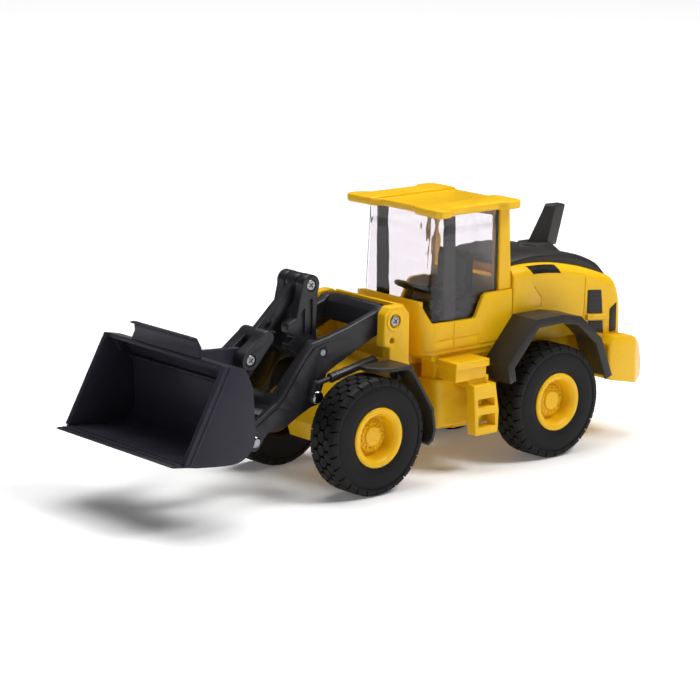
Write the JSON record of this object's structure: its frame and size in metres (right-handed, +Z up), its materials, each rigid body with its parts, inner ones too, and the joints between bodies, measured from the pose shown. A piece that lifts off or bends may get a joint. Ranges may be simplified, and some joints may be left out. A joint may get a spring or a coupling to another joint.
{
  "type": "toy front loader",
  "caption": "Articulated toy wheel loader with a lifting boom, a linkage-tilted bucket, steering centre hinge, rolling wheels and a glazed cab.",
  "frame": {"origin": "on the ground, at the middle of the loader's length and width with the bucket as modelled", "axes": "+X forward towards the bucket, +Y to the driver's left, +Z up"},
  "size_m": [0.2418, 0.0728, 0.1015],
  "materials": {
    "yellow_plastic": "glossy injection-moulded plastic, slightly translucent warm yellow",
    "charcoal_plastic": "satin charcoal moulded plastic with a faint cool tint",
    "brown_grey_plastic": "satin dark warm-grey moulded plastic",
    "interior_black": "matt black moulded plastic",
    "clear_glazing": "clear moulded styrene, wavy and frosted along its top band",
    "tyre_rubber": "matt black soft rubber-like plastic with block tread",
    "steel": "bright zinc-plated steel",
    "chrome": "polished domed rivet head"
  },
  "bodies": {
    "rear_frame": {"rear_chassis": "yellow_plastic", "articulation_pin": "steel", "cab_tub": "yellow_plastic", "cab_skirt": "yellow_plastic", "cab_interior": "interior_black", "seat": "interior_black", "steering_wheel": "interior_black", "cab_glazing": "clear_glazing", "door_pillar_left": "brown_grey_plastic", "door_pillar_right": "brown_grey_plastic", "cab_rear_frame": "yellow_plastic", "cab_roof": "yellow_plastic", "hood": "yellow_plastic", "hood_top": "brown_grey_plastic", "intake_fin": "brown_grey_plastic", "side_vents": "brown_grey_plastic", "vent_bars": "yellow_plastic", "side_plates": "brown_grey_plastic", "counterweight": "yellow_plastic", "rear_grille": "brown_grey_plastic", "rear_fender_left": "brown_grey_plastic", "rear_fender_right": "brown_grey_plastic", "step_ladder_left": "yellow_plastic", "step_ladder_right": "yellow_plastic", "chassis_screws": "steel"},
    "front_frame": {"front_chassis": "yellow_plastic", "front_fender_left": "brown_grey_plastic", "front_fender_right": "brown_grey_plastic", "boom_screw_left": "steel", "boom_screw_right": "steel"},
    "boom": {"boom": "charcoal_plastic", "lever_pin": "steel", "lift_pins": "chrome", "bucket_pins": "chrome", "lift_rod_left": "charcoal_plastic", "lift_rod_right": "charcoal_plastic"},
    "left_barrel": {"lift_barrel_left": "charcoal_plastic"},
    "right_barrel": {"lift_barrel_right": "charcoal_plastic"},
    "lever": {"lever_left": "charcoal_plastic", "lever_right": "charcoal_plastic", "lever_screw": "steel"},
    "link": {"tilt_link": "charcoal_plastic"},
    "bucket": {"bucket_shell": "charcoal_plastic", "cutting_edge": "charcoal_plastic", "spill_guard": "charcoal_plastic", "bucket_lugs": "charcoal_plastic", "link_screw": "steel"},
    "front_wheels": {"front_axle": "steel", "front_tyre_left": "tyre_rubber", "front_tyre_right": "tyre_rubber", "front_rim_left": "yellow_plastic", "front_rim_right": "yellow_plastic"},
    "rear_wheels": {"rear_axle": "steel", "rear_tyre_left": "tyre_rubber", "rear_tyre_right": "tyre_rubber", "rear_rim_left": "yellow_plastic", "rear_rim_right": "yellow_plastic"}
  },
  "joints": [
    {"name": "steering", "type": "hinge", "parent": "rear_frame", "child": "front_frame", "pos_m": [-0.01875, 0, 0.0285], "axis": [0, 0, 1], "range_deg": [-30, 30]},
    {"name": "boom_lift", "type": "hinge", "parent": "front_frame", "child": "boom", "pos_m": [0.0092, 0, 0.0615], "axis": [0, -1, 0], "range_deg": [-20.5, 48]},
    {"name": "bucket_tilt", "type": "hinge", "parent": "boom", "child": "bucket", "pos_m": [0.0697, 0, 0.0238], "axis": [0, -1, 0], "range_deg": [-40, 18]},
    {"name": "link_swing", "type": "hinge", "parent": "bucket", "child": "link", "pos_m": [0.0644, 0, 0.0514], "axis": [0, -1, 0], "range_deg": [-21, 46]},
    {"name": "lever_swing", "type": "hinge", "parent": "boom", "child": "lever", "pos_m": [0.0382, 0, 0.0524], "axis": [0, -1, 0], "range_deg": [-43, 19.6]},
    {"name": "front_roll", "type": "hinge", "parent": "front_frame", "child": "front_wheels", "pos_m": [0.0267, 0, 0.0222], "axis": [0, 1, 0], "continuous": true},
    {"name": "rear_roll", "type": "hinge", "parent": "rear_frame", "child": "rear_wheels", "pos_m": [-0.0642, 0, 0.0222], "axis": [0, 1, 0], "continuous": true},
    {"name": "left_barrel_slide", "type": "slide", "parent": "boom", "child": "left_barrel", "axis": [-0.9811, 0, 0.1937], "range_m": [-0.0049, 0.0113]},
    {"name": "right_barrel_slide", "type": "slide", "parent": "boom", "child": "right_barrel", "axis": [-0.9811, 0, 0.1937], "range_m": [-0.0049, 0.0113]}
  ],
  "couplings": [
    {"joint": "link_swing", "follows": "bucket_tilt", "ratio": -1.13},
    {"joint": "lever_swing", "follows": "bucket_tilt", "ratio": 1.06},
    {"joint": "left_barrel_slide", "follows": "boom_lift", "m_per_rad": 0.0132},
    {"joint": "right_barrel_slide", "follows": "boom_lift", "m_per_rad": 0.0132}
  ]
}
